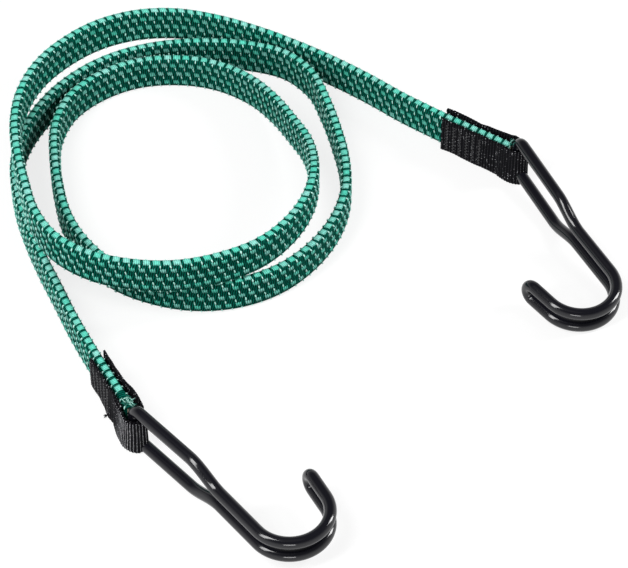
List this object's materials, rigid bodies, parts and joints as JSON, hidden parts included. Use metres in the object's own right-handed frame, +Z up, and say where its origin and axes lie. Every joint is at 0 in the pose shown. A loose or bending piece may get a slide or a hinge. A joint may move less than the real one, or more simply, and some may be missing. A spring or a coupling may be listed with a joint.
{
  "type": "flat bungee cord",
  "caption": "Flat woven elastic tie-down strap lying in loose loops, with a swinging vinyl-dipped double-wire hook held by a sewn webbing tab at each end.",
  "frame": {"origin": "middle of the whole outline, on the surface that the cord lies on", "axes": "+Z up from that surface, +X to the right and +Y away from a viewer who has the hooked ends nearest"},
  "size_m": [0.2838, 0.3226, 0.0368],
  "materials": {
    "strap_weave": "woven green yarn, bright and dark",
    "strand_rubber": "bare natural rubber",
    "tab_webbing": "ribbed black webbing, sewn with black thread",
    "hook_vinyl": "glossy black dipped vinyl",
    "hook_steel": "drawn spring wire"
  },
  "bodies": {
    "strap": {"strap_cover": "strap_weave", "rubber_strand_1": "strand_rubber", "rubber_strand_2": "strand_rubber", "rubber_strand_3": "strand_rubber", "rubber_strand_4": "strand_rubber", "rubber_strand_5": "strand_rubber", "right_webbing_tab": "tab_webbing", "left_webbing_tab": "tab_webbing"},
    "right_hook": {"right_hook_coating": "hook_vinyl", "right_hook_wire": "hook_steel"},
    "left_hook": {"left_hook_coating": "hook_vinyl", "left_hook_wire": "hook_steel"}
  },
  "joints": [
    {"name": "right_hook_swing", "type": "hinge", "parent": "strap", "child": "right_hook", "pos_m": [0.09791, 0.07454, 0.01558], "axis": [0.0378, -0.0763, 0.9964], "range_deg": [-45, 115]},
    {"name": "left_hook_swing", "type": "hinge", "parent": "strap", "child": "left_hook", "pos_m": [-0.07639, -0.08936, 0.01231], "axis": [0, 0, 1], "range_deg": [-100, 50]}
  ]
}
